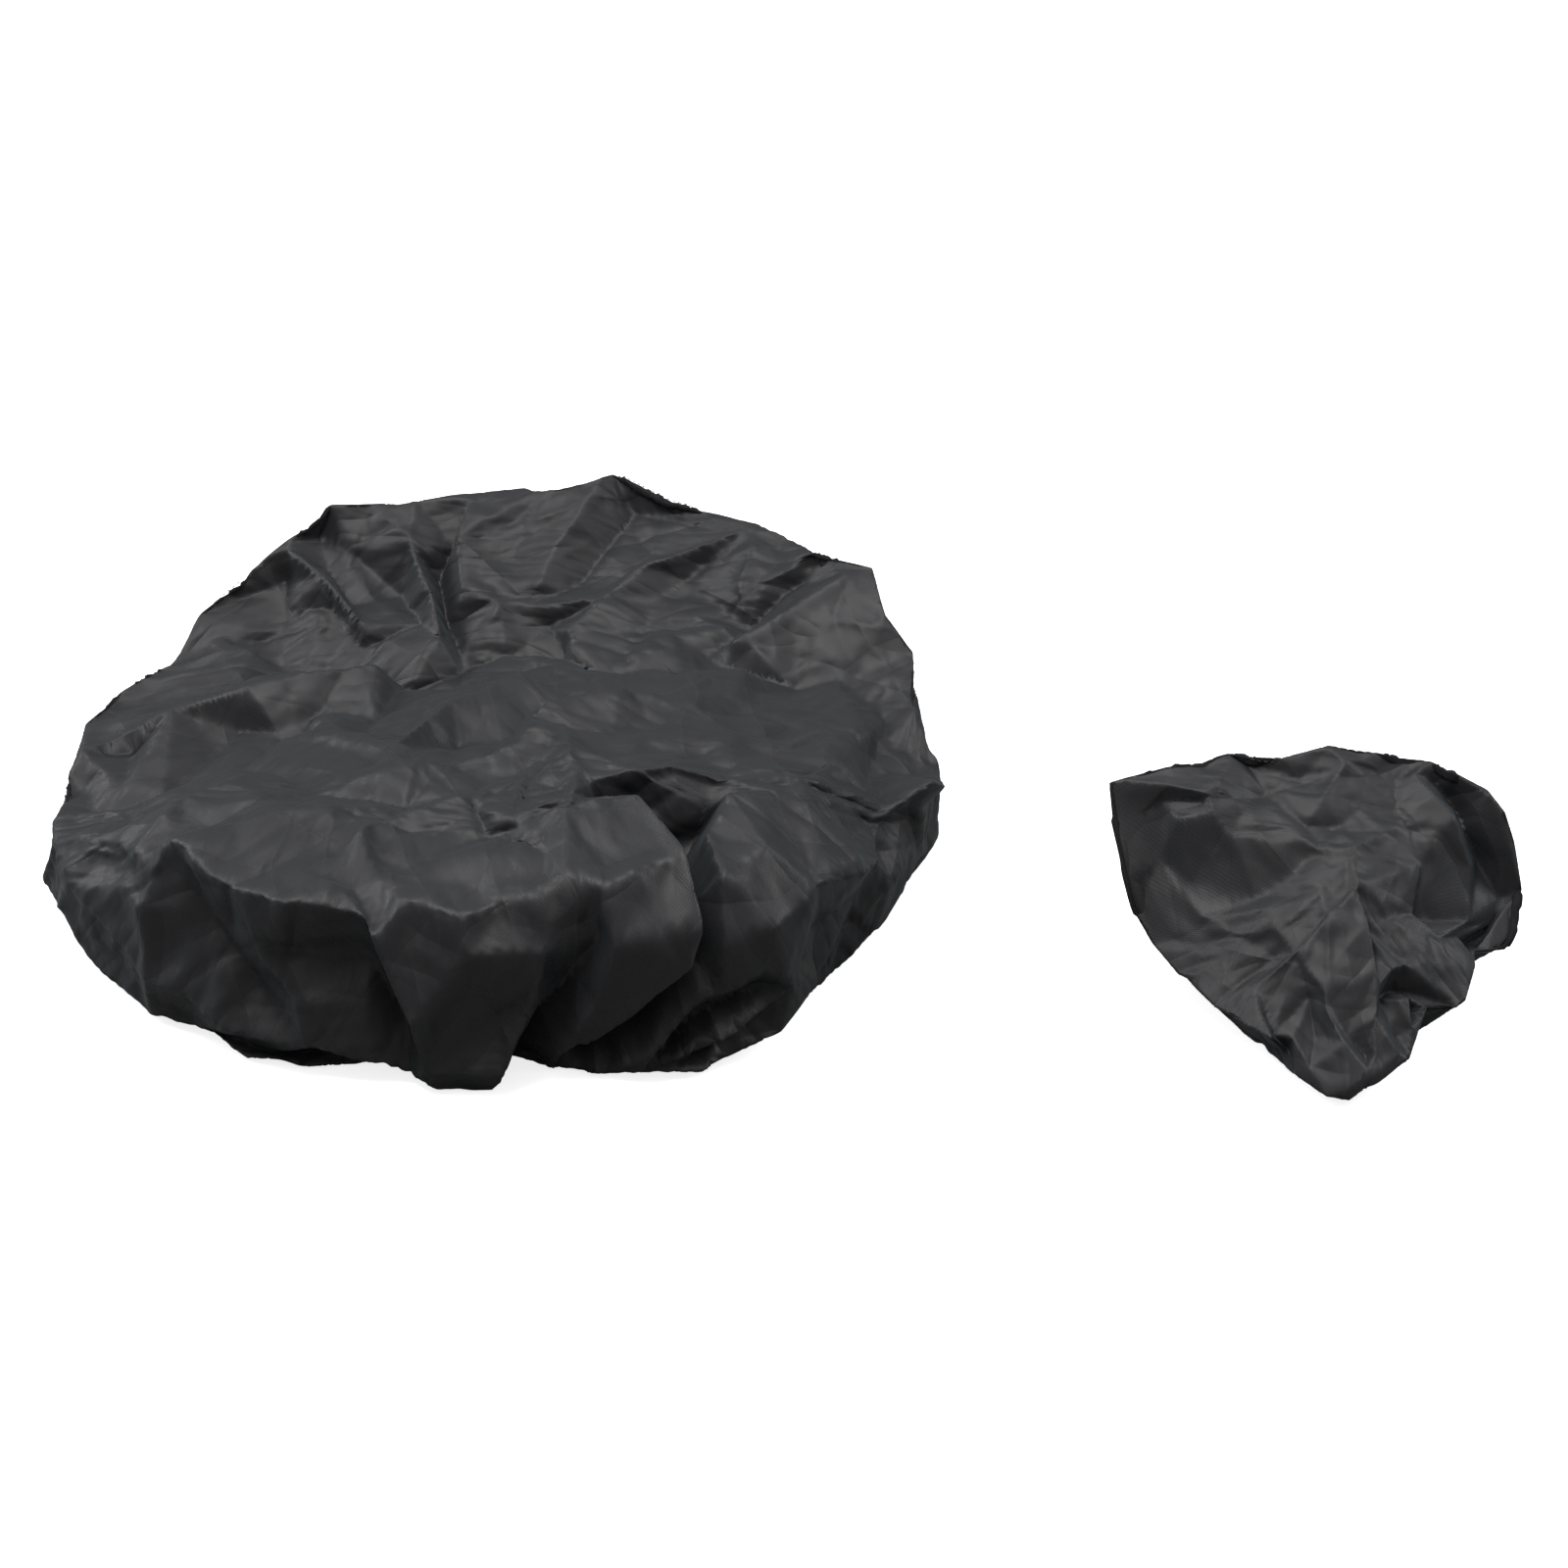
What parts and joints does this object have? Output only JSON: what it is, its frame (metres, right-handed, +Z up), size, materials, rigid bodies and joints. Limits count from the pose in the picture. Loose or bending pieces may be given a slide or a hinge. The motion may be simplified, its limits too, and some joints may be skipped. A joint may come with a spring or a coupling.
{
  "type": "wheel cover set",
  "caption": "Large and small slip-on cloth wheel covers with elastic hems, relaxed and standing open side down.",
  "frame": {"origin": "on the floor plane at the middle of the large cover", "axes": "+Z up, away from the floor that both open sides rest on; +X from the large cover towards the small cover; +Y to the back, where the side seams are"},
  "size_m": [0.992, 0.628, 0.164],
  "materials": {
    "cloth": "coated woven polyester, charcoal, slight sheen",
    "tape": "woven binding tape, matt black",
    "thread": "polyester sewing thread",
    "elastic": "braided flat elastic, matt black"
  },
  "bodies": {
    "large_base": {"large_side_band": "cloth", "large_side_seam_tape": "tape", "large_side_seam_thread": "thread", "large_hem_casing": "tape", "large_hem_thread": "thread", "large_hem_elastic": "elastic", "large_elastic_join": "thread"},
    "large_top": {"large_face_panel": "cloth", "large_face_seam_binding": "tape", "large_face_seam_thread": "thread"},
    "small_base": {"small_side_band": "cloth", "small_side_seam_tape": "tape", "small_side_seam_thread": "thread", "small_hem_casing": "tape", "small_hem_thread": "thread", "small_hem_elastic": "elastic", "small_elastic_join": "thread"},
    "small_top": {"small_face_panel": "cloth", "small_face_seam_binding": "tape", "small_face_seam_thread": "thread"}
  },
  "joints": [
    {"name": "large_cover_flatten", "type": "slide", "parent": "large_base", "child": "large_top", "axis": [0, 0, -1], "range_m": [0, 0.09], "stiffness_N_per_m": 60, "springref_m": -0.013},
    {"name": "small_cover_slide", "type": "slide", "parent": "large_base", "child": "small_base", "axis": [1, 0, 0], "range_m": [-0.05, 0.25]},
    {"name": "small_cover_flatten", "type": "slide", "parent": "small_base", "child": "small_top", "axis": [0, 0.3256, -0.9455], "range_m": [0, 0.026], "stiffness_N_per_m": 15, "springref_m": -0.011}
  ]
}
